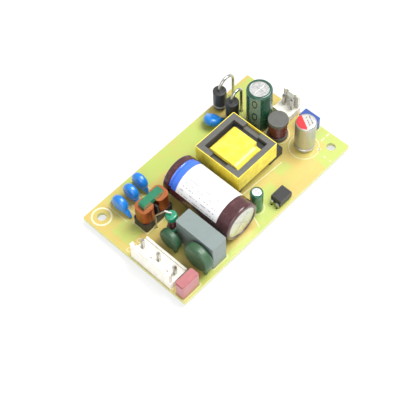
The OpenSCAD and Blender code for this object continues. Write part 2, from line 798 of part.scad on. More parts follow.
module rectifier(i) {
  color("dimgray") on_board(i == 1 ? diode_x1 : diode_x2, i == 1 ? diode_y1 : diode_y2, diode_lift)
    round_drum(diode_d/2, diode_l, 0.45);
}

// Lead that leaves the top of the body and arches over to its own hole.
module arched_lead(x, y, pitch, rise) {
  top = diode_lift + diode_l + rise;
  r = pitch/2;
  on_board(x, y, diode_lift + diode_l) cylinder(h = rise, d = diode_wire);
  on_board(x + r, y, top) rotate([90, 0, 0]) rotate_extrude(angle = 180)
    translate([r, 0]) circle(d = diode_wire);
  on_board(x + pitch, y, -board_top) cylinder(h = board_top + top, d = diode_wire);
  on_board(x, y, -board_top) cylinder(h = board_top + diode_lift, d = diode_wire);
}

module rectifier_leads() {
  color("darkgray") {
    arched_lead(diode_x1, diode_y1, diode_pitch_1, 1.5);
    arched_lead(diode_x2, diode_y2, diode_pitch_2, 0.4);
  }
}

module vent_scores(d, z) {
  for (a = [0, 90]) translate([0, 0, z]) rotate(a) cube([d*0.6, 0.25, 0.25], center = true);
}

module output_capacitor_can() {
  color("silver") on_board(outcap_x, outcap_y) difference() {
    can_body(outcap_d, outcap_h, can_wall, seal_h);
    vent_scores(outcap_d, outcap_h - can_wall);
  }
}

module output_capacitor_sleeve() {
  color("darkslategray") on_board(outcap_x, outcap_y) sleeve_tube(outcap_d, outcap_h, can_wall, 1.2);
}

module output_capacitor_seal() {
  color("dimgray") on_board(outcap_x, outcap_y, can_wall)
    cylinder(h = seal_h - can_wall, d = outcap_d - 4*can_wall - 1);
}

module output_capacitor_leads() {
  color("silver") straight_leads(outcap_feet, can_wall);
}

// Bare can with a rolled groove near its foot.
module polymer_capacitor_can() {
  color("silver") on_board(polycap_x, polycap_y) rotate_extrude() difference() {
    can_section(polycap_d, polycap_h, 0, 2.2, 0.4);
    translate([0, -cut]) square([polycap_d/2 - 1.2, cut + 0.4]);
  }
}

module polymer_capacitor_leads() {
  color("silver") straight_leads(polycap_feet, 0.4);
}

module small_capacitor_can() {
  color("silver") on_board(smallcap_x, smallcap_y) difference() {
    can_body(smallcap_d, smallcap_h, 0.2, 0);
    vent_scores(smallcap_d, smallcap_h - 0.2);
  }
}

module small_capacitor_sleeve() {
  color("darkgreen") on_board(smallcap_x, smallcap_y) sleeve_tube(smallcap_d, smallcap_h, 0.2, 0.7);
}

module small_capacitor_leads() {
  color("silver") straight_leads(smallcap_feet, 0.2);
}

drum_flange = 1.7;
drum_web = 3.6;

module drum_core() {
  color("gray") on_board(drum_x, drum_y) rotate_extrude() {
    drum_section(drum_d/2, drum_flange, 0.3);
    translate([0, drum_h - drum_flange]) drum_section(drum_d/2, drum_flange, 0.3);
    square([drum_web/2, drum_h]);
  }
}

module drum_winding() {
  space = drum_h - 2*drum_flange;
  turn = space/drum_turns;
  color("maroon") on_board(drum_x, drum_y, drum_flange) rotate_extrude() {
    translate([drum_web/2, 0]) square([drum_coil_d/2 - turn/2 - drum_web/2, space]);
    for (i = [0:drum_turns - 1])
      translate([drum_coil_d/2 - turn/2, (i + 0.5)*turn]) circle(d = turn);
  }
}

module drum_leads() {
  color("silver") straight_leads(drum_feet, 0);
}

module film_capacitor_case() {
  color("midnightblue") on_board(film_x, film_y) box_case(film_w, film_l, film_h, 0.4);
}

module film_capacitor_leads() {
  color("silver") straight_leads(film_feet, 0.4);
}

// ---- optocoupler ----

opto_lift = 0.8;
opto_leg_t = 0.26;
opto_leg_w = 0.5;

module optocoupler_body() {
  draft = 0.25;
  half = opto_w/2;
  color("dimgray") on_board(opto_x, opto_y, opto_lift) difference() {
    translate([0, opto_l/2, 0]) rotate([90, 0, 0]) linear_extrude(opto_l)
      polygon([[-half + draft, 0], [half - draft, 0], [half, opto_h*0.45],
               [half - draft, opto_h], [-half + draft, opto_h], [-half, opto_h*0.45]]);
    translate([-half + 1.3, opto_l/2 - 1, opto_h - 0.15]) cylinder(h = 1, d = 0.9);
  }
}

module opto_leg(sx, sy) {
  top = opto_lift + opto_h*0.45;
  on_board(opto_x, opto_y + sy*opto_step/2) mirror([sx < 0 ? 1 : 0, 0, 0]) {
    translate([opto_w/2, -0.6, top - opto_leg_t/2])
      cube([opto_row/2 - opto_w/2 + opto_leg_t/2, 1.2, opto_leg_t]);
    translate([opto_row/2 - opto_leg_t/2, -0.6, opto_lift/2])
      cube([opto_leg_t, 1.2, top - opto_lift/2]);
    translate([opto_row/2 - opto_leg_t/2, -opto_leg_w/2, -board_top])
      cube([opto_leg_t, opto_leg_w, board_top + top]);
  }
}

module optocoupler_leads() {
  color("silver") for (sx = [-1, 1], sy = [-1, 1]) opto_leg(sx, sy);
}

// ---- surface parts under the board ----

// Flat package with bent legs on its two long sides.
module surface_package(l, w, h, legs, step, reach) {
  color("dimgray") translate([0, 0, h/2 + 0.1]) cube([l, w, h], center = true);
  leg_t = 0.2;
  for (s = [-1, 1], i = [0:legs - 1])
    translate([(i - (legs - 1)/2)*step, 0, 0]) mirror([0, s < 0 ? 1 : 0, 0]) color("silver") {
      translate([-0.2, w/2 - slack, h*0.45]) cube([0.4, reach*0.5, leg_t]);
      translate([-0.2, w/2 + reach*0.5 - leg_t - slack, 0]) cube([0.4, leg_t, h*0.45 + leg_t]);
      translate([-0.2, w/2 + reach*0.5 - leg_t - slack, 0]) cube([0.4, reach*0.5 + leg_t, leg_t]);
    }
}

module bridge_rectifier() {
  under_board(bulk_x - 2, bulk_y0 + 9) surface_package(4.9, 4.4, 1.4, 2, 4, 1.4);
}

module controller_ic() {
  under_board(bulk_x + 4, bulk_y0 + bulk_l - 11) rotate(90) surface_package(4.9, 3.9, 1.5, 4, 1.27, 1.05);
}

module shunt_regulator() {
  under_board(core_x + 3.5, opto_y + 5.5) surface_package(2.9, 1.4, 1, 2, 1.9, 0.55);
}

module chip(x, y, turn, l, w, h) {
  under_board(x, y) rotate(turn) translate([0, 0, h/2]) cube([l, w, h], center = true);
}

module chip_parts() {
  color("black") {
    // resistors in a row beside the controller
    for (i = [0:3]) chip(bulk_x - 5, bulk_y0 + bulk_l - 17 + i*2.6, 0, 3.2, 1.6, 0.6);
    // feedback divider beside the optocoupler
    for (i = [0:2]) chip(core_x + 8 + i*2.2, opto_y + 1, 90, 2, 1.25, 0.55);
  }
  color("tan") {
    for (i = [0:1]) chip(bulk_x + 3.6, bulk_y0 + 3 + i*2.4, 0, 2, 1.25, 0.9);
    for (i = [0:1]) chip(core_x + 2, core_y - 3 + i*3, 0, 3.2, 1.6, 1.2);
  }
}

// ---- drawing ----

circuit_board();
ac_header_housing();
ac_header_pins();
fuse_case();
fuse_leads();
varistor_body();
varistor_leads();
thermistor_body();
thermistor_leads();
x_capacitor_case();
x_capacitor_leads();
axial_inductor_body();
axial_inductor_leads();
choke_core();
choke_coil(-1);  // choke_coil_1
choke_coil(1);  // choke_coil_2
choke_base();
choke_pins();
y_capacitor(0);  // y_capacitor_1
y_capacitor(1);  // y_capacitor_2
y_capacitor(2);  // y_capacitor_3
y_capacitor(3);  // y_capacitor_4
y_capacitor_leads();
bulk_capacitor_can();
bulk_capacitor_sleeve();
bulk_capacitor_seal();
bulk_capacitor_leads();
transformer_core_half(-1);  // transformer_core_1
transformer_core_half(1);  // transformer_core_2
transformer_bobbin();
transformer_winding();
transformer_tape();
transformer_pins();
rectifier(1);  // rectifier_1
rectifier(2);  // rectifier_2
rectifier_leads();
output_capacitor_can();
output_capacitor_sleeve();
output_capacitor_seal();
output_capacitor_leads();
polymer_capacitor_can();
polymer_capacitor_leads();
drum_core();
drum_winding();
drum_leads();
dc_header_housing();
dc_header_pins();
optocoupler_body();
optocoupler_leads();
small_capacitor_can();
small_capacitor_sleeve();
small_capacitor_leads();
film_capacitor_case();
film_capacitor_leads();
bridge_rectifier();
controller_ic();
shunt_regulator();
chip_parts();
solder_joints();
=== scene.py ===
import math
import bmesh
import bpy
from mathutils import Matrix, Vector


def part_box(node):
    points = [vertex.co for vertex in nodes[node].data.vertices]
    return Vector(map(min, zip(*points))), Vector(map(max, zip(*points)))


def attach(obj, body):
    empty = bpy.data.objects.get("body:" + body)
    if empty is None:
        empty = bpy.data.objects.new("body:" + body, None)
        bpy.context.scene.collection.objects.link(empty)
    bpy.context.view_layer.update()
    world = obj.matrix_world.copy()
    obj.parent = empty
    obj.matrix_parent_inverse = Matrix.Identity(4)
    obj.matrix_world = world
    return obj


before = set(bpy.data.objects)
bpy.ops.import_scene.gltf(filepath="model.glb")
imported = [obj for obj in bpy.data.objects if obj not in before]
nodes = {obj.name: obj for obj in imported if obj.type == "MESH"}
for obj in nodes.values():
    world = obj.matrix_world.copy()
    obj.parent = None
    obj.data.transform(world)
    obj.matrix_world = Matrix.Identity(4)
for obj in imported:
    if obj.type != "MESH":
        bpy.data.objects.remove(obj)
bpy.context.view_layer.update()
mm = 0.001
boardLow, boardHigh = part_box("circuit_board")
boardTop = boardHigh.z / mm
print("frame loaded:", len(nodes), "nodes")


# boxes of the solids in mm, colours, meshes and printed lines
def boxOf(name):
    low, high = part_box(name)
    return low / mm, high / mm


def middleOf(name):
    low, high = boxOf(name)
    return (low + high) / 2


def shade(red, green, blue):
    # 0 to 255 colour values, as a paint chart gives them
    linear = []
    for value in (red, green, blue):
        part = value / 255
        linear.append(part / 12.92 if part <= 0.04045 else ((part + 0.055) / 1.055) ** 2.4)
    return (*linear, 1.0)


def darker(colour, share):
    return tuple(part * share for part in colour[:3]) + (1,)


def addPiece(name, data, material):
    piece = bpy.data.objects.new(name, data)
    bpy.context.scene.collection.objects.link(piece)
    data.materials.append(material)
    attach(piece, "root")


def meshFrom(bm, name):
    mesh = bpy.data.meshes.new(name)
    bmesh.ops.recalc_face_normals(bm, faces=bm.faces[:])
    bm.to_mesh(mesh)
    bm.free()
    return mesh


def addWire(name, points, radius, material):
    # round wire along points in mm
    curve = bpy.data.curves.new(name, "CURVE")
    curve.dimensions = "3D"
    curve.bevel_depth = radius * mm
    curve.bevel_resolution = 3
    curve.use_fill_caps = True
    spline = curve.splines.new("POLY")
    spline.points.add(len(points) - 1)
    for knot, point in zip(spline.points, points):
        knot.co = (*(Vector(point) * mm), 1)
    addPiece(name, curve, material)


def ringStrip(bm, centre, inner, outer, z):
    # flat printed ring
    steps = 48
    middle = Vector((*centre, z))
    loop = []
    for step in range(steps + 1):
        angle = 2 * math.pi * step / steps
        way = Vector((math.cos(angle), math.sin(angle), 0))
        low = bm.verts.new((middle + way * inner) * mm)
        high = bm.verts.new((middle + way * outer) * mm)
        loop.append((low, high))
    for first, second in zip(loop, loop[1:]):
        bm.faces.new((first[0], first[1], second[1], second[0]))


def lineStrip(bm, begin, end, width, z):
    # flat printed line between two points of the board
    along = (Vector(end) - Vector(begin)).normalized()
    side = Vector((-along.y, along.x)) * width / 2
    corners = []
    for point, way in ((begin, -1), (begin, 1), (end, 1), (end, -1)):
        corner = Vector((point[0] + side.x * way, point[1] + side.y * way, z))
        corners.append(bm.verts.new(corner * mm))
    bm.faces.new(corners)


def boxStrip(bm, low, high, width, z):
    # printed outline of a rectangle
    corners = [(low[0], low[1]), (high[0], low[1]), (high[0], high[1]), (low[0], high[1])]
    for begin, end in zip(corners, corners[1:] + corners[:1]):
        lineStrip(bm, begin, end, width, z)


# node tools for the finishes
def newFinish(name):
    material = bpy.data.materials.new(name)
    material.use_nodes = True
    tree = material.node_tree
    return material, tree, tree.nodes["Principled BSDF"]


def plug(tree, socket, value):
    if isinstance(value, bpy.types.NodeSocket):
        tree.links.new(value, socket)
    else:
        socket.default_value = value


def calc(tree, operation, first, second=0.0, third=None, clamp=False):
    node = tree.nodes.new("ShaderNodeMath")
    node.operation = operation
    node.use_clamp = clamp
    plug(tree, node.inputs[0], first)
    plug(tree, node.inputs[1], second)
    if third is not None:
        plug(tree, node.inputs[2], third)
    return node.outputs[0]


def millimetres(tree):
    # where a point is, in mm: as a vector, then as x, y and z
    place = tree.nodes.new("ShaderNodeTexCoord")
    scaled = tree.nodes.new("ShaderNodeVectorMath")
    scaled.operation = "SCALE"
    scaled.inputs["Scale"].default_value = 1 / mm
    tree.links.new(place.outputs["Object"], scaled.inputs[0])
    split = tree.nodes.new("ShaderNodeSeparateXYZ")
    tree.links.new(scaled.outputs[0], split.inputs[0])
    return scaled.outputs[0], split.outputs[0], split.outputs[1], split.outputs[2]


def upwardFacing(tree):
    # how far the surface faces up, from -1 to 1
    geometry = tree.nodes.new("ShaderNodeNewGeometry")
    split = tree.nodes.new("ShaderNodeSeparateXYZ")
    tree.links.new(geometry.outputs["Normal"], split.inputs[0])
    return split.outputs[2]


def turnedAxes(tree, x, y, middle, degrees):
    # distances from a middle, ahead along a direction and beside it
    away = math.radians(degrees)
    sideX = calc(tree, "SUBTRACT", x, middle.x)
    sideY = calc(tree, "SUBTRACT", y, middle.y)
    ahead = calc(tree, "ADD", calc(tree, "MULTIPLY", sideX, math.cos(away)),
                 calc(tree, "MULTIPLY", sideY, math.sin(away)))
    beside = calc(tree, "SUBTRACT", calc(tree, "MULTIPLY", sideY, math.cos(away)),
                  calc(tree, "MULTIPLY", sideX, math.sin(away)))
    return ahead, beside


def degreesOf(tree, beside, ahead):
    return calc(tree, "MULTIPLY", calc(tree, "ARCTAN2", beside, ahead), 180 / math.pi)


def speckle(tree, place, scale, detail, roughness=0.55):
    node = tree.nodes.new("ShaderNodeTexNoise")
    node.inputs["Scale"].default_value = scale
    node.inputs["Detail"].default_value = detail
    node.inputs["Roughness"].default_value = roughness
    tree.links.new(place, node.inputs["Vector"])
    return node.outputs["Fac"]


def stretched(tree, place, x, y, z):
    node = tree.nodes.new("ShaderNodeVectorMath")
    node.operation = "MULTIPLY"
    tree.links.new(place, node.inputs[0])
    node.inputs[1].default_value = (x, y, z)
    return node.outputs[0]


def band(tree, value, low, high, edge):
    # 1 between low and high, 0 outside, with a short soft edge
    rise = calc(tree, "MULTIPLY_ADD", value, 1 / edge, -low / edge, clamp=True)
    fall = calc(tree, "MULTIPLY_ADD", value, -1 / edge, high / edge, clamp=True)
    return calc(tree, "MULTIPLY", rise, fall)


def over(tree, amount, under, top):
    # mixes two colours
    node = tree.nodes.new("ShaderNodeMix")
    node.data_type = "RGBA"
    plug(tree, node.inputs["Factor"], amount)
    plug(tree, node.inputs["A"], under)
    plug(tree, node.inputs["B"], top)
    return node.outputs["Result"]


def spread(tree, value, low, high, lowest=0.0, highest=1.0):
    node = tree.nodes.new("ShaderNodeMapRange")
    node.inputs["From Min"].default_value = low
    node.inputs["From Max"].default_value = high
    node.inputs["To Min"].default_value = lowest
    node.inputs["To Max"].default_value = highest
    tree.links.new(value, node.inputs["Value"])
    return node.outputs[0]


def relief(tree, shader, height, strength, depth):
    node = tree.nodes.new("ShaderNodeBump")
    node.inputs["Strength"].default_value = strength
    node.inputs["Distance"].default_value = depth * mm
    tree.links.new(height, node.inputs["Height"])
    tree.links.new(node.outputs[0], shader.inputs["Normal"])


def lacquer(shader, weight, roughness):
    shader.inputs["Coat Weight"].default_value = weight
    shader.inputs["Coat Roughness"].default_value = roughness


def unevenGloss(tree, shader, pattern, low, high):
    plug(tree, shader.inputs["Roughness"], spread(tree, pattern, 0.3, 0.7, low, high))


def moulded(name, colour, second, roughness, grain=3.0, bumpDepth=0.02, coat=0.0, mottle=0.35):
    # plain moulding or dipped coat: two close tones, fine grain, uneven gloss
    material, tree, shader = newFinish(name)
    place = millimetres(tree)[0]
    cloud = speckle(tree, place, 0.45, 4.0)
    fine = speckle(tree, place, grain, 5.0, 0.65)
    blend = calc(tree, "MULTIPLY", spread(tree, cloud, 0.35, 0.65), mottle, clamp=True)
    plug(tree, shader.inputs["Base Color"], over(tree, blend, colour, second))
    unevenGloss(tree, shader, fine, roughness - 0.06, roughness + 0.08)
    lacquer(shader, coat, 0.12)
    relief(tree, shader, fine, 0.5, bumpDepth)
    return material


def metal(name, colour, roughness, grain=2.5, bumpDepth=0.015):
    material, tree, shader = newFinish(name)
    place = millimetres(tree)[0]
    cloud = speckle(tree, place, grain, 4.0, 0.6)
    plug(tree, shader.inputs["Base Color"],
         over(tree, spread(tree, cloud, 0.3, 0.7), colour, darker(colour, 0.8)))
    shader.inputs["Metallic"].default_value = 1.0
    unevenGloss(tree, shader, cloud, roughness - 0.05, roughness + 0.1)
    relief(tree, shader, cloud, 0.5, bumpDepth)
    return material


def dress(material, *names):
    for name in names:
        for place in nodes[name].material_slots:
            place.material = material


# shared finishes
tinned = metal("tinnedWire", shade(206, 205, 200), 0.26)
solderFinish = metal("solder", shade(196, 196, 194), 0.2, grain=1.2, bumpDepth=0.05)
blackMoulding = moulded("blackMoulding", shade(34, 34, 35), shade(52, 52, 52), 0.42, grain=6)
printInk = moulded("printInk", shade(226, 224, 190), shade(206, 202, 160), 0.6, grain=5, mottle=0.6)
copperEnamel = metal("copperEnamel", shade(214, 128, 84), 0.3)
darkEnamel = moulded("darkEnamel", shade(96, 24, 20), shade(60, 12, 12), 0.25, coat=0.6)
print("shared finishes made")


# circuit board
boardLook = {
    "green": shade(172, 188, 92),
    "amber": shade(196, 170, 92),
    "mask": shade(52, 96, 40),          # solder mask on the underside
    "maskTrack": shade(96, 146, 62),    # the same over copper
    "edge": shade(196, 198, 128),
    "weavePitch": 0.62,
    "weaveShare": 0.05, "fibreShare": 0.16,
    "border": 1.2,                      # how softly the inner copper shows through
    "copperShare": 0.75, "greenShare": 0.15, "drift": 0.3,
    "trackLow": 0.47,                   # where the noise turns into a track
    "gloss": (0.3, 0.46),
}

# copper areas under the laminate, as middle x, y and half sizes in mm
copperAreas = [
    (-38.0, 9.5, 4.0, 4.5), (-24.0, 13.0, 3.0, 3.0), (-33.0, -24.5, 11.0, 1.5),
    (-14.0, 22.0, 11.0, 4.0), (6.0, 19.5, 15.0, 6.5), (-12.0, -25.0, 14.0, 1.4),
    (4.5, -20.0, 8.0, 5.5), (42.5, -17.0, 3.0, 9.0), (37.0, 20.0, 8.0, 5.0),
    (38.5, -23.0, 7.0, 3.5), (28.0, 10.0, 4.0, 6.0), (20.5, -14.0, 3.2, 2.0),
]


def boardFinish(look, areas):
    material, tree, shader = newFinish("glassLaminate")
    place, x, y = millimetres(tree)[:3]
    wander = speckle(tree, place, 0.16, 2.0)
    shownCopper = None
    for midX, midY, halfX, halfY in areas:
        sideX = calc(tree, "ABSOLUTE", calc(tree, "SUBTRACT", x, midX))
        sideY = calc(tree, "ABSOLUTE", calc(tree, "SUBTRACT", y, midY))
        fromX = calc(tree, "SUBTRACT", sideX, halfX)
        fromY = calc(tree, "SUBTRACT", sideY, halfY)
        away = calc(tree, "SMOOTH_MAX", fromX, fromY, 1.0)
        inside = calc(tree, "MULTIPLY_ADD", away, -1 / look["border"], 0.5, clamp=True)
        shownCopper = inside if shownCopper is None else calc(tree, "MAXIMUM", shownCopper, inside)
    drift = spread(tree, wander, 0.3, 0.7, -look["drift"], look["drift"])
    green = calc(tree, "MULTIPLY_ADD", shownCopper, look["copperShare"], look["greenShare"])
    tint = calc(tree, "ADD", green, drift, clamp=True)
    top = over(tree, tint, look["amber"], look["green"])

    # glass cloth, seen faintly through the resin
    threads = 2 * math.pi / look["weavePitch"]
    weave = [calc(tree, "SINE", calc(tree, "MULTIPLY", axis, threads)) for axis in (x, y)]
    cloth = calc(tree, "MULTIPLY", *weave)
    fibre = speckle(tree, stretched(tree, place, 1.0, 6.0, 1.0), 1.2, 4.0)
    clothShade = calc(tree, "MULTIPLY_ADD", cloth, look["weaveShare"],
                      calc(tree, "MULTIPLY", fibre, look["fibreShare"]))
    top = over(tree, clothShade, top, look["edge"])

    # underside: solder mask, lighter over the tracks
    tracks = speckle(tree, stretched(tree, place, 0.14, 0.3, 1.0), 1.0, 1.0)
    under = over(tree, band(tree, tracks, look["trackLow"], 0.8, 0.01),
                 look["mask"], look["maskTrack"])
    upward = upwardFacing(tree)
    onTop = calc(tree, "GREATER_THAN", upward, 0.5)
    below = calc(tree, "LESS_THAN", upward, -0.5)
    colour = over(tree, onTop, look["edge"], top)
    colour = over(tree, below, colour, under)
    plug(tree, shader.inputs["Base Color"], colour)
    unevenGloss(tree, shader, fibre, *look["gloss"])
    lacquer(shader, 0.25, 0.2)
    relief(tree, shader, cloth, 0.25, 0.02)
    return material


dress(boardFinish(boardLook, copperAreas), "circuit_board")


# printed lines on the board
printLook = {
    "lift": 0.03,
    "width": 0.28,
    "boxWidth": 0.18, "ringWidth": 0.2,
    "boardEdge": 0.25,              # no line comes nearer to the edge
    "holeRing": (3.35, 4.0),        # inner and outer radius round the mains end's hole
    "canRing": (5.7, 5.95),         # round the polymer can
    "canShift": (-0.6, -0.3),
    "inset": 4.9,                   # both holes, from their edges
    # how far the printed outlines stand outside each part
    "boxGaps": {"x_capacitor_case": 0.4, "fuse_case": 0.35, "choke_base": 0.4,
                "ac_header_housing": 0.3, "film_capacitor_case": 0.3},
    "ringGaps": {"output_capacitor_sleeve": 0.5, "drum_core": 0.5, "small_capacitor_sleeve": 0.45},
    # short marks round the output end's hole: both ends, measured from it, and the width
    "holeMarks": (((2.6, 4.5), (4.2, 4.5), 0.5), ((-0.3, 4.5), (1.6, 4.5), 0.5),
                  ((-4.6, 2.7), (-3.2, 2.7), 0.9), ((-5.2, -1.8), (-5.2, -0.6), 0.4),
                  ((-5.2, -4.4), (-5.2, -3.6), 0.4)),
    "polaritySteps": 3, "polarityPitch": 2.6, "polarityRing": (0.75, 0.95),
    "polarityShift": (1.4, 2.6),
    "tickGap": 0.4,
    # the line that parts mains from output: its turn and its ends, from the transformer's
    # near corners and from the board's near edge
    "partingTurn": (1.4, -0.2), "partingRight": (1.4, -1.4), "partingLeft": (-4.4, 1.3),
}


def addPrint(look):
    bm = bmesh.new()
    z = boardTop + look["lift"]
    width = look["width"]
    low, high = boardLow / mm, boardHigh / mm
    holeLeft = (low.x + look["inset"], high.y - look["inset"])
    holeRight = (high.x - look["inset"], low.y + look["inset"])
    ringStrip(bm, holeLeft, *look["holeRing"], z)

    can = middleOf("polymer_capacitor_can")
    shiftX, shiftY = look["canShift"]
    ringStrip(bm, (can.x + shiftX, can.y + shiftY), *look["canRing"], z)
    edge = look["boardEdge"]
    for name, gap in look["boxGaps"].items():
        begin, end = boxOf(name)
        boxStrip(bm, (max(begin.x - gap, low.x + edge), max(begin.y - gap, low.y + edge)),
                 (min(end.x + gap, high.x - edge), end.y + gap), look["boxWidth"], z)
    for name, gap in look["ringGaps"].items():
        begin, end = boxOf(name)
        middle = (begin + end) / 2
        reach = (end.x - begin.x) / 2 + gap
        ringStrip(bm, (middle.x, middle.y), reach, reach + look["ringWidth"], z)

    coreLow, coreHigh = boxOf("transformer_tape")
    turn, right, left = look["partingTurn"], look["partingRight"], look["partingLeft"]
    corner = (coreLow.x + turn[0], coreLow.y + turn[1])
    lineStrip(bm, corner, (coreHigh.x + right[0], coreLow.y + right[1]), width, z)
    lineStrip(bm, corner, (coreLow.x + left[0], low.y + left[1]), width, z)
    for begin, end, wide in look["holeMarks"]:
        lineStrip(bm, (holeRight[0] + begin[0], holeRight[1] + begin[1]),
                  (holeRight[0] + end[0], holeRight[1] + end[1]), wide, z)

    # polarity mark beside the mains header, and ticks by the ceramic discs
    headerLow, headerHigh = boxOf("ac_header_housing")
    shiftX, shiftY = look["polarityShift"]
    for step in range(look["polaritySteps"]):
        centre = (headerLow.x + shiftX + look["polarityPitch"] * step, headerHigh.y + shiftY)
        ringStrip(bm, centre, *look["polarityRing"], z)
    for name in ("y_capacitor_1", "y_capacitor_2", "y_capacitor_3"):
        begin, end = boxOf(name)
        for beside in (begin.x - look["tickGap"], end.x + look["tickGap"]):
            lineStrip(bm, (beside, begin.y), (beside, end.y), look["boxWidth"], z)
    addPiece("boardPrint", meshFrom(bm, "boardPrint"), printInk)


addPrint(printLook)
print("board and print done")


# headers
nylonLook = {"colour": shade(238, 236, 228), "shadow": shade(222, 218, 204), "roughness": 0.38}


def nylonFinish(look):
    material, tree, shader = newFinish("whiteNylon")
    place = millimetres(tree)[0]
    cloud = speckle(tree, place, 0.5, 3.0)
    fine = speckle(tree, place, 5.0, 4.0)
    plug(tree, shader.inputs["Base Color"],
         over(tree, spread(tree, cloud, 0.3, 0.7), look["colour"], look["shadow"]))
    unevenGloss(tree, shader, fine, look["roughness"] - 0.06, look["roughness"] + 0.1)
    shader.inputs["Subsurface Weight"].default_value = 0.15
    shader.inputs["Subsurface Radius"].default_value = (0.0008, 0.0006, 0.0004)
    relief(tree, shader, fine, 0.4, 0.015)
    return material


dress(nylonFinish(nylonLook), "ac_header_housing", "dc_header_housing")
dress(tinned, "ac_header_pins", "dc_header_pins")


# fuse, discs and film capacitors
fuseFinish = moulded("fuseCase", shade(176, 108, 110), shade(150, 86, 92), 0.36, coat=0.3)
varistorCoat = moulded("varistorCoat", shade(58, 92, 62), shade(44, 74, 52), 0.4, grain=2.0,
                       bumpDepth=0.06, coat=0.15)
thermistorCoat = moulded("thermistorCoat", shade(46, 84, 56), shade(34, 64, 46), 0.42, grain=2.2,
                         bumpDepth=0.06, coat=0.1)
blueCoat = moulded("blueCoat", shade(20, 122, 206), shade(14, 98, 180), 0.3, grain=1.6,
                   bumpDepth=0.08, coat=0.5)
greyBox = moulded("greyBox", shade(124, 136, 134), shade(112, 124, 122), 0.44, grain=7,
                  bumpDepth=0.03)
blueBox = moulded("blueBox", shade(52, 84, 160), shade(44, 70, 140), 0.36, coat=0.2)
dress(fuseFinish, "fuse_case")
dress(varistorCoat, "varistor_body")
dress(thermistorCoat, "thermistor_body")
dress(blueCoat, "y_capacitor_1", "y_capacitor_2", "y_capacitor_3", "y_capacitor_4")
dress(greyBox, "x_capacitor_case")
dress(blueBox, "film_capacitor_case")
dress(tinned, "fuse_leads", "varistor_leads", "thermistor_leads", "x_capacitor_leads",
      "y_capacitor_leads", "film_capacitor_leads", "axial_inductor_leads", "choke_pins",
      "bulk_capacitor_leads", "output_capacitor_leads", "polymer_capacitor_leads", "drum_leads",
      "small_capacitor_leads", "transformer_pins", "rectifier_leads", "optocoupler_leads")
dress(solderFinish, "solder_joints")
print("mains parts done")


# axial inductor: fine wire wound round the waist
axialLook = {
    "body": shade(38, 140, 104), "bodyDark": shade(24, 104, 80),
    "wire": 0.14, "turns": 13, "steps": 12,     # wire radius, turns, points on each turn
    "reach": 1.56, "head": 3.1,                 # winding's radius, and the ends it leaves free
}
axialCoat = moulded("axialCoat", axialLook["body"], axialLook["bodyDark"], 0.24, grain=1.5,
                    coat=0.7)
dress(axialCoat, "axial_inductor_body")


def windAxial(look):
    low, high = boxOf("axial_inductor_body")
    middle = (low + high) / 2
    reach = look["reach"]
    begin, end = low.z + look["head"], high.z - look["head"]
    steps = look["turns"] * look["steps"]
    route = []
    for step in range(steps + 1):
        angle = 2 * math.pi * look["turns"] * step / steps
        route.append((middle.x + reach * math.cos(angle), middle.y + reach * math.sin(angle),
                      begin + (end - begin) * step / steps))
    addWire("axialWinding", route, look["wire"], darkEnamel)


windAxial(axialLook)


# common mode choke
chokeLook = {"core": shade(30, 116, 82), "coreDark": shade(20, 88, 64)}
chokeCoat = moulded("chokeCoat", chokeLook["core"], chokeLook["coreDark"], 0.4, grain=2.5,
                    bumpDepth=0.05, coat=0.15)
dress(chokeCoat, "choke_core")
dress(copperEnamel, "choke_coil_1", "choke_coil_2")
dress(blackMoulding, "choke_base")
print("choke done")


# bulk capacitor
bulkLook = {
    "sleeve": shade(66, 34, 38),
    "sleeveLight": shade(88, 50, 52),
    "label": shade(240, 239, 241),
    "band": shade(62, 112, 224),
    "print": shade(150, 150, 158),
    "labelFrom": -16.5, "labelTo": 3.5, "bandTo": 7.2,      # along the board's width
    "labelSides": (-72.0, 108.0),                           # turn about the axis, 0 is up
    "rowPitch": 12.0, "rowPart": (0.35, 0.62),              # degrees, and a row's printed share
    "dashScale": 1.3, "rowStep": 7.3, "dashLow": 0.5,       # length, change and share of the dashes
    "printStart": 1.5, "printEnd": 1.2, "printShare": 0.8,
}


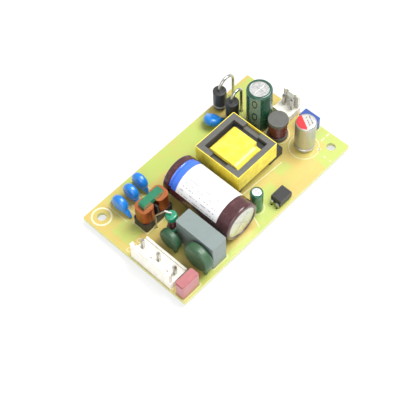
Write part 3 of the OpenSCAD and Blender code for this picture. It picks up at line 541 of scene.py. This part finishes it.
def bulkSleeveFinish(look):
    material, tree, shader = newFinish("bulkSleeve")
    place, x, y, z = millimetres(tree)
    middle = middleOf("bulk_capacitor_sleeve")
    sideways = calc(tree, "SUBTRACT", x, middle.x)
    upward = calc(tree, "SUBTRACT", z, middle.z)
    turn = degreesOf(tree, sideways, upward)
    cloud = speckle(tree, place, 0.5, 4.0)
    sleeve = over(tree, spread(tree, cloud, 0.35, 0.7), look["sleeve"], look["sleeveLight"])

    # the label's width, then its lines of small dashes
    across = band(tree, turn, *look["labelSides"], 0.6)
    labelPart = band(tree, y, look["labelFrom"], look["labelTo"], 0.08)
    bandPart = band(tree, y, look["labelTo"], look["bandTo"], 0.08)
    labelOn = calc(tree, "MULTIPLY", across, labelPart)
    bandOn = calc(tree, "MULTIPLY", across, bandPart)
    rows = calc(tree, "DIVIDE", turn, look["rowPitch"])
    rowOn = band(tree, calc(tree, "FRACT", rows), *look["rowPart"], 0.05)
    rowNumber = calc(tree, "FLOOR", rows)
    cells = tree.nodes.new("ShaderNodeTexNoise")
    cells.noise_dimensions = "2D"
    cells.inputs["Scale"].default_value = 1.0
    cells.inputs["Detail"].default_value = 0.0
    join = tree.nodes.new("ShaderNodeCombineXYZ")
    tree.links.new(calc(tree, "MULTIPLY", y, look["dashScale"]), join.inputs[0])
    tree.links.new(calc(tree, "MULTIPLY", rowNumber, look["rowStep"]), join.inputs[1])
    tree.links.new(join.outputs[0], cells.inputs["Vector"])
    dashes = band(tree, cells.outputs["Fac"], look["dashLow"], 1.0, 0.03)
    inside = band(tree, y, look["labelFrom"] + look["printStart"],
                  look["labelTo"] - look["printEnd"], 0.2)
    marks = calc(tree, "MULTIPLY", calc(tree, "MULTIPLY", rowOn, dashes), inside)
    printed = calc(tree, "MULTIPLY", marks, look["printShare"])
    label = over(tree, printed, look["label"], look["print"])
    colour = over(tree, labelOn, sleeve, label)
    colour = over(tree, bandOn, colour, look["band"])
    plug(tree, shader.inputs["Base Color"], colour)
    unevenGloss(tree, shader, cloud, 0.2, 0.3)
    lacquer(shader, 0.6, 0.08)
    wrinkle = speckle(tree, stretched(tree, place, 1.0, 0.4, 1.0), 0.8, 3.0)
    relief(tree, shader, wrinkle, 0.3, 0.08)
    return material


def canFinish(name, colour, roughness, dent):
    material, tree, shader = newFinish(name)
    place = millimetres(tree)[0]
    cloud = speckle(tree, place, 1.1, 4.0, 0.6)
    fine = speckle(tree, place, 7.0, 3.0)
    plug(tree, shader.inputs["Base Color"],
         over(tree, spread(tree, cloud, 0.35, 0.65), colour, darker(colour, 0.78)))
    shader.inputs["Metallic"].default_value = 1.0
    unevenGloss(tree, shader, fine, roughness - 0.06, roughness + 0.08)
    relief(tree, shader, cloud, 0.6, dent)
    return material


canAluminium = canFinish("canAluminium", shade(226, 226, 224), 0.34, 0.08)
dress(bulkSleeveFinish(bulkLook), "bulk_capacitor_sleeve")
dress(canAluminium, "bulk_capacitor_can", "output_capacitor_can", "small_capacitor_can")
sealRubber = moulded("sealRubber", shade(40, 40, 42), shade(56, 56, 56), 0.6)
dress(sealRubber, "bulk_capacitor_seal", "output_capacitor_seal")
print("bulk capacitor done")


# transformer
transformerLook = {
    "ferrite": shade(92, 92, 88), "ferriteDark": shade(70, 70, 66),
    "tape": shade(244, 226, 84), "tapeDeep": shade(226, 200, 48),
}


def tapeFinish(look):
    material, tree, shader = newFinish("yellowTape")
    place = millimetres(tree)[0]
    cloud = speckle(tree, place, 0.5, 4.0)
    wrinkle = speckle(tree, stretched(tree, place, 0.6, 1.6, 0.6), 0.7, 4.0)
    plug(tree, shader.inputs["Base Color"],
         over(tree, spread(tree, cloud, 0.35, 0.65), look["tape"], look["tapeDeep"]))
    unevenGloss(tree, shader, wrinkle, 0.26, 0.42)
    lacquer(shader, 0.4, 0.15)
    relief(tree, shader, wrinkle, 0.4, 0.15)
    return material


yellowTape = tapeFinish(transformerLook)
ferrite = moulded("ferrite", transformerLook["ferrite"], transformerLook["ferriteDark"], 0.5,
                  grain=4, bumpDepth=0.04)
dress(yellowTape, "transformer_winding", "transformer_tape")
dress(ferrite, "transformer_core_1", "transformer_core_2", "drum_core")
dress(blackMoulding, "transformer_bobbin")
print("transformer done")


# output side
sleeveLook = {
    "sleeve": shade(22, 66, 50), "sleeveLight": shade(34, 84, 64),
    "stripe": shade(108, 132, 122), "mark": shade(24, 44, 38),
    "stripeTurn": 200.0, "stripeHalf": 27.0,     # middle and half width, in degrees about the can
    "stripeFoot": 0.4, "stripeHead": 0.6,
    "markPitch": 7.5, "markTall": 3.2, "markHalf": 13.0, "markInner": 0.62,
}


def greenSleeve(name, look, node, withMark):
    material, tree, shader = newFinish(name)
    place, x, y, z = millimetres(tree)
    low, high = boxOf(node)
    ahead, beside = turnedAxes(tree, x, y, (low + high) / 2, look["stripeTurn"])
    turn = degreesOf(tree, beside, ahead)       # 0 in the middle of the stripe
    cloud = speckle(tree, place, 0.6, 4.0)
    sleeve = over(tree, spread(tree, cloud, 0.35, 0.65), look["sleeve"], look["sleeveLight"])
    half = look["stripeHalf"]
    onSide = band(tree, z, low.z + look["stripeFoot"], high.z - look["stripeHead"], 0.1)
    stripe = calc(tree, "MULTIPLY", band(tree, turn, -half, half, 1.0), onSide)
    colour = over(tree, stripe, sleeve, look["stripe"])
    if withMark:
        # an oval ring, repeated down the stripe
        down = calc(tree, "DIVIDE", calc(tree, "SUBTRACT", high.z, z), look["markPitch"])
        fall = calc(tree, "SUBTRACT", calc(tree, "FRACT", down), 0.5)
        tall = calc(tree, "POWER", calc(tree, "MULTIPLY", fall, look["markTall"]), 2.0)
        wide = calc(tree, "POWER", calc(tree, "MULTIPLY", turn, 1 / look["markHalf"]), 2.0)
        oval = calc(tree, "SQRT", calc(tree, "ADD", tall, wide))
        ring = band(tree, oval, look["markInner"], 1.0, 0.06)
        colour = over(tree, calc(tree, "MULTIPLY", ring, stripe), colour, look["mark"])
    plug(tree, shader.inputs["Base Color"], colour)
    unevenGloss(tree, shader, cloud, 0.22, 0.32)
    lacquer(shader, 0.5, 0.1)
    relief(tree, shader, speckle(tree, place, 0.9, 3.0), 0.3, 0.05)
    return material


smallLook = dict(sleeveLook, sleeve=shade(18, 84, 58), sleeveLight=shade(30, 104, 74),
                 stripeTurn=20.0, stripe=shade(150, 176, 150))
outputSleeve = greenSleeve("outputSleeve", sleeveLook, "output_capacitor_sleeve", True)
smallSleeve = greenSleeve("smallSleeve", smallLook, "small_capacitor_sleeve", False)
dress(outputSleeve, "output_capacitor_sleeve")
dress(smallSleeve, "small_capacitor_sleeve")


polymerLook = {
    "can": shade(202, 201, 196), "red": shade(206, 44, 48), "ink": shade(96, 70, 80),
    "redTurn": 150.0, "redReach": 0.6,      # which way the red part faces, and where it starts
    "rim": 0.35,                            # left bare round the top
    "rowScale": 0.8, "rowPart": (0.3, 0.62), "inkLow": 0.46,
    "inkAhead": (-2.9, 0.1), "inkBeside": (-2.1, 2.1),
}


def polymerFinish(look):
    material, tree, shader = newFinish("polymerCan")
    place, x, y, z = millimetres(tree)
    low, high = boxOf("polymer_capacitor_can")
    ahead, beside = turnedAxes(tree, x, y, (low + high) / 2, look["redTurn"])
    onTop = calc(tree, "GREATER_THAN", z, high.z - look["rim"])
    radial = calc(tree, "SQRT", calc(tree, "ADD", calc(tree, "POWER", ahead, 2.0),
                                     calc(tree, "POWER", beside, 2.0)))
    radius = (high.x - low.x) / 2
    disc = calc(tree, "MULTIPLY", onTop, band(tree, radial, -1.0, radius - look["rim"], 0.1))
    red = calc(tree, "MULTIPLY", disc, band(tree, ahead, look["redReach"], 9.0, 0.08))
    # broken bars of ink on the bare part
    bars = calc(tree, "FRACT", calc(tree, "MULTIPLY", ahead, look["rowScale"]))
    rows = band(tree, bars, *look["rowPart"], 0.05)
    dashes = band(tree, speckle(tree, place, 1.8, 0.0), look["inkLow"], 1.0, 0.04)
    inkArea = calc(tree, "MULTIPLY", band(tree, ahead, *look["inkAhead"], 0.1),
                   band(tree, beside, *look["inkBeside"], 0.1))
    ink = calc(tree, "MULTIPLY", calc(tree, "MULTIPLY", rows, dashes),
               calc(tree, "MULTIPLY", inkArea, disc))
    cloud = speckle(tree, stretched(tree, place, 1.0, 1.0, 0.15), 1.4, 4.0)
    colour = over(tree, spread(tree, cloud, 0.3, 0.7), look["can"], darker(look["can"], 0.85))
    colour = over(tree, red, colour, look["red"])
    colour = over(tree, ink, colour, look["ink"])
    plug(tree, shader.inputs["Base Color"], colour)
    printed = calc(tree, "MULTIPLY", calc(tree, "MAXIMUM", red, ink), 0.8)
    plug(tree, shader.inputs["Metallic"], calc(tree, "SUBTRACT", 0.9, printed))
    unevenGloss(tree, shader, cloud, 0.34, 0.46)
    relief(tree, shader, cloud, 0.3, 0.03)
    return material


dress(polymerFinish(polymerLook), "polymer_capacitor_can")
dress(darkEnamel, "drum_winding")

diodeLook = {
    "body": shade(40, 40, 42), "bodyLight": shade(54, 54, 56),
    "bandColour": shade(150, 150, 150), "bandFrom": 1.2, "bandTo": 2.4,     # up from its foot
}


def diodeFinish(look):
    material, tree, shader = newFinish("rectifierBody")
    place, _, _, z = millimetres(tree)
    low = boxOf("rectifier_1")[0]
    fine = speckle(tree, place, 6.0, 4.0)
    ring = band(tree, calc(tree, "SUBTRACT", z, low.z), look["bandFrom"], look["bandTo"], 0.05)
    body = over(tree, spread(tree, fine, 0.3, 0.7), look["body"], look["bodyLight"])
    plug(tree, shader.inputs["Base Color"], over(tree, ring, body, look["bandColour"]))
    unevenGloss(tree, shader, fine, 0.34, 0.5)
    relief(tree, shader, fine, 0.5, 0.03)
    return material


dress(diodeFinish(diodeLook), "rectifier_1", "rectifier_2")
dress(blackMoulding, "optocoupler_body", "bridge_rectifier", "controller_ic", "shunt_regulator")
chipFinish = moulded("chipBody", shade(34, 34, 36), shade(60, 58, 56), 0.4)
dress(chipFinish, "chip_parts")
print("output side done")


# floor, light and camera
studioLook = {
    "floor": shade(250, 250, 250),
    "floorGlow": 0.72,               # share of plain white that the camera sees in the floor
    "floorHalf": 3.0,
    "world": 0.55,
    # place in metres, power in watts, side of the square
    "key": ((0.35, -0.15, 0.75), 9.0, 0.5),
    "fill": ((-0.5, -0.45, 0.5), 3.5, 0.7),
    "lampTarget": (0, 0, 0.005),
}


def addFloor(look):
    bm = bmesh.new()
    half = look["floorHalf"]
    corners = ((-half, -half), (half, -half), (half, half), (-half, half))
    bm.faces.new([bm.verts.new((x, y, 0)) for x, y in corners])
    mesh = meshFrom(bm, "floor")
    floor = bpy.data.objects.new("floor", mesh)
    bpy.context.scene.collection.objects.link(floor)
    material, tree, shader = newFinish("paleFloor")
    plug(tree, shader.inputs["Base Color"], look["floor"])
    shader.inputs["Roughness"].default_value = 0.8
    glow = tree.nodes.new("ShaderNodeEmission")
    glow.inputs["Color"].default_value = (1, 1, 1, 1)
    ray = tree.nodes.new("ShaderNodeLightPath")
    seen = calc(tree, "MAXIMUM", ray.outputs["Is Camera Ray"], ray.outputs["Is Glossy Ray"])
    mix = tree.nodes.new("ShaderNodeMixShader")
    tree.links.new(calc(tree, "MULTIPLY", seen, look["floorGlow"]), mix.inputs["Fac"])
    tree.links.new(shader.outputs[0], mix.inputs[1])
    tree.links.new(glow.outputs[0], mix.inputs[2])
    tree.links.new(mix.outputs[0], tree.nodes["Material Output"].inputs["Surface"])
    mesh.materials.append(material)


def addLamp(name, place, power, size, target):
    lamp = bpy.data.lights.new(name, "AREA")
    lamp.energy = power
    lamp.size = size
    lampObject = bpy.data.objects.new(name, lamp)
    lampObject.location = place
    toward = Vector(target) - Vector(place)
    lampObject.rotation_euler = toward.to_track_quat("-Z", "Y").to_euler()
    bpy.context.scene.collection.objects.link(lampObject)


def addWorld(look):
    world = bpy.data.worlds.new("studio")
    bpy.context.scene.world = world
    world.use_nodes = True
    tree = world.node_tree
    background = tree.nodes["Background"]
    background.inputs["Color"].default_value = (1, 1, 1, 1)
    ray = tree.nodes.new("ShaderNodeLightPath")
    strength = calc(tree, "MULTIPLY_ADD", ray.outputs["Is Camera Ray"], 1.0 - look["world"],
                    look["world"])
    tree.links.new(strength, background.inputs["Strength"])


addFloor(studioLook)
addWorld(studioLook)
for lampName in ("key", "fill"):
    addLamp(lampName, *studioLook[lampName], studioLook["lampTarget"])

cameraLook = {
    "lens": 94.6, "sensor": 36,
    "azimuth": -43.14, "elevation": 57.5, "roll": -3.98,
    "target": (-10.60, -0.66), "distance": 388.2,
}


def addCamera(look):
    turn = math.radians(look["azimuth"])
    rise = math.radians(look["elevation"])
    level = math.cos(rise)
    back = Vector((math.sin(turn) * level, -math.cos(turn) * level, math.sin(rise)))
    right = Vector((math.cos(turn), math.sin(turn), 0))
    up = back.cross(right)
    roll = math.radians(look["roll"])
    rightRolled = right * math.cos(roll) + up * math.sin(roll)
    upRolled = up * math.cos(roll) - right * math.sin(roll)
    data = bpy.data.cameras.new("camera")
    data.lens = look["lens"]
    data.sensor_width = look["sensor"]
    camera = bpy.data.objects.new("camera", data)
    target = Vector((*look["target"], boardTop))
    place = (target + back * look["distance"]) * mm
    matrix = camera.matrix_world.copy()
    for row in range(3):
        matrix[row][0] = rightRolled[row]
        matrix[row][1] = upRolled[row]
        matrix[row][2] = back[row]
        matrix[row][3] = place[row]
    camera.matrix_world = matrix
    bpy.context.scene.collection.objects.link(camera)
    bpy.context.scene.camera = camera


addCamera(cameraLook)
bpy.context.scene.view_settings.view_transform = "Standard"
print("stage done")
